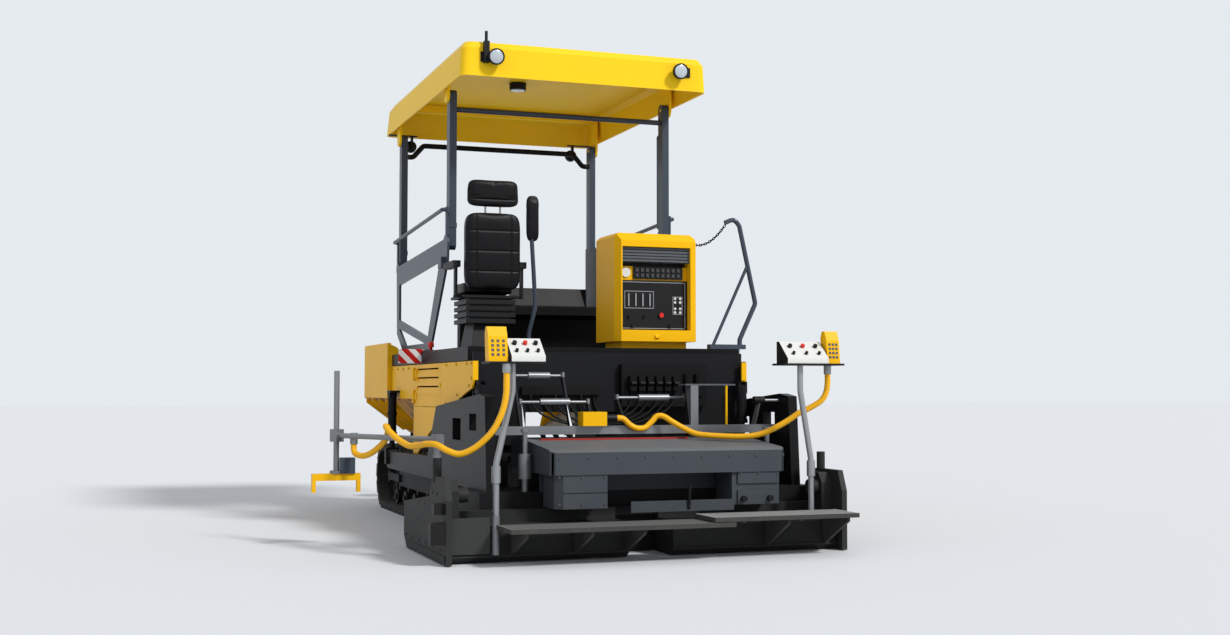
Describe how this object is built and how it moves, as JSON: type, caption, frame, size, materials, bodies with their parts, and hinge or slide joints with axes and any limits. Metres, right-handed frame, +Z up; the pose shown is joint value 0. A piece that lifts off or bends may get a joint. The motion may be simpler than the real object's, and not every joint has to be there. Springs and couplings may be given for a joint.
{
  "type": "tracked asphalt paver",
  "caption": "Tracked asphalt paver with folding hopper wings, folding canopy, spreading augers and a floating screed with sliding extensions.",
  "frame": {"origin": "on the ground under the middle of the whole outline, with the left screed extension out as at rest; the machine's own middle plane lies 0.465 m to the right", "axes": "+Y forward to the push rollers, +X to the right, +Z up"},
  "size_m": [3.5306, 6.3999, 3.9433],
  "materials": {
    "dark_steel": "painted dark",
    "track_rubber": "matt",
    "yellow_paint": "semi gloss",
    "black_paint": "satin",
    "blue_grey_paint": "satin",
    "black_plastic": "matt",
    "seat_vinyl": "satin",
    "worn_steel": "worn",
    "yellow_shell": "semi gloss",
    "zinc_steel": "satin",
    "grey_paint": "satin",
    "walkway_rubber": "ribbed",
    "cable_yellow": "satin"
  },
  "bodies": {
    "tractor": {"chassis": "dark_steel", "track_left": "track_rubber", "track_right": "track_rubber", "track_frame_left": "dark_steel", "track_frame_right": "dark_steel", "engine_block": "dark_steel", "side_panel_left": "yellow_paint", "side_panel_right": "yellow_paint", "platform": "black_paint", "platform_front": "black_paint", "side_frame_left": "blue_grey_paint", "side_frame_right": "blue_grey_paint", "handrail_right": "blue_grey_paint", "seat_pedestal": "black_plastic", "seat_cushions": "seat_vinyl", "side_pad": "black_plastic", "cabinet_shell": "yellow_paint", "cabinet_panels": "black_plastic", "rear_hydraulics": "black_paint", "conveyor": "worn_steel", "push_beam": "yellow_paint", "auger_carrier": "dark_steel", "levelling_cylinders": "dark_steel", "lift_cylinders": "dark_steel"},
    "door_left": {"service_door_left": "yellow_paint"},
    "door_right": {"service_door_right": "yellow_paint"},
    "hood": {"engine_hood": "black_paint"},
    "wing_left": {"hopper_wing_left": "yellow_paint"},
    "wing_right": {"hopper_wing_right": "yellow_paint"},
    "roller_left": {"push_roller_left": "worn_steel"},
    "roller_right": {"push_roller_right": "worn_steel"},
    "posts_rear": {"rear_posts": "blue_grey_paint"},
    "posts_front": {"front_posts": "blue_grey_paint"},
    "canopy": {"roof": "yellow_shell", "roof_lamps": "black_plastic"},
    "auger_half_left": {"auger_left": "worn_steel"},
    "auger_half_right": {"auger_right": "worn_steel"},
    "screed": {"tow_arms": "black_paint", "cross_beam": "zinc_steel", "screed_frame": "dark_steel", "screed_cover": "grey_paint", "cable_right": "cable_yellow"},
    "screed_left": {"extension_left": "dark_steel", "end_plate_left": "grey_paint", "walkway_left": "walkway_rubber", "console_left": "blue_grey_paint", "sensor_arm": "zinc_steel", "cable_left": "cable_yellow"},
    "screed_right": {"extension_right": "dark_steel", "end_plate_right": "grey_paint", "walkway_right": "walkway_rubber", "console_right": "blue_grey_paint"}
  },
  "joints": [
    {"name": "wing_left_fold", "type": "hinge", "parent": "tractor", "child": "wing_left", "pos_m": [-0.19471, 1.97, 0.705], "axis": [0, -1, 0], "range_deg": [0, 35]},
    {"name": "wing_right_fold", "type": "hinge", "parent": "tractor", "child": "wing_right", "pos_m": [1.12529, 1.97, 0.705], "axis": [0, 1, 0], "range_deg": [0, 35]},
    {"name": "door_left_swing", "type": "hinge", "parent": "tractor", "child": "door_left", "pos_m": [-0.64671, 0.363, 1.05], "axis": [0, 0, -1], "range_deg": [0, 90]},
    {"name": "door_right_swing", "type": "hinge", "parent": "tractor", "child": "door_right", "pos_m": [1.57729, 0.363, 1.05], "axis": [0, 0, 1], "range_deg": [0, 90]},
    {"name": "hood_lift", "type": "hinge", "parent": "tractor", "child": "hood", "pos_m": [0.46529, 1.324, 1.486], "axis": [-1, 0, 0], "range_deg": [0, 60]},
    {"name": "push_roller_left_spin", "type": "hinge", "parent": "tractor", "child": "roller_left", "pos_m": [0.16529, 3.115, 0.56], "axis": [1, 0, 0], "continuous": true},
    {"name": "push_roller_right_spin", "type": "hinge", "parent": "tractor", "child": "roller_right", "pos_m": [0.76529, 3.115, 0.56], "axis": [1, 0, 0], "continuous": true},
    {"name": "canopy_fold", "type": "hinge", "parent": "tractor", "child": "posts_rear", "pos_m": [0.46529, -0.28, 2.33], "axis": [-1, 0, 0], "range_deg": [0, 70]},
    {"name": "canopy_level", "type": "hinge", "parent": "posts_rear", "child": "canopy", "pos_m": [0.46529, -0.28, 3.56], "axis": [-1, 0, 0], "range_deg": [-70, 0]},
    {"name": "canopy_front_fold", "type": "hinge", "parent": "tractor", "child": "posts_front", "pos_m": [0.46529, 1.67, 2.27], "axis": [-1, 0, 0], "range_deg": [0, 70]},
    {"name": "auger_left_spin", "type": "hinge", "parent": "tractor", "child": "auger_half_left", "pos_m": [-0.13471, -1.46, 0.345], "axis": [1, 0, 0], "continuous": true},
    {"name": "auger_right_spin", "type": "hinge", "parent": "tractor", "child": "auger_half_right", "pos_m": [1.06529, -1.46, 0.345], "axis": [1, 0, 0], "continuous": true},
    {"name": "screed_lift", "type": "hinge", "parent": "tractor", "child": "screed", "pos_m": [0.46529, 1.07, 0.5], "axis": [-1, 0, 0], "range_deg": [0, 6]},
    {"name": "screed_left_slide", "type": "slide", "parent": "screed", "child": "screed_left", "axis": [-1, 0, 0], "range_m": [-0.3, 0.6]},
    {"name": "screed_right_slide", "type": "slide", "parent": "screed", "child": "screed_right", "axis": [1, 0, 0], "range_m": [0, 0.9]}
  ],
  "couplings": [
    {"joint": "canopy_level", "follows": "canopy_fold", "ratio": -1},
    {"joint": "canopy_front_fold", "follows": "canopy_fold", "ratio": 1}
  ]
}
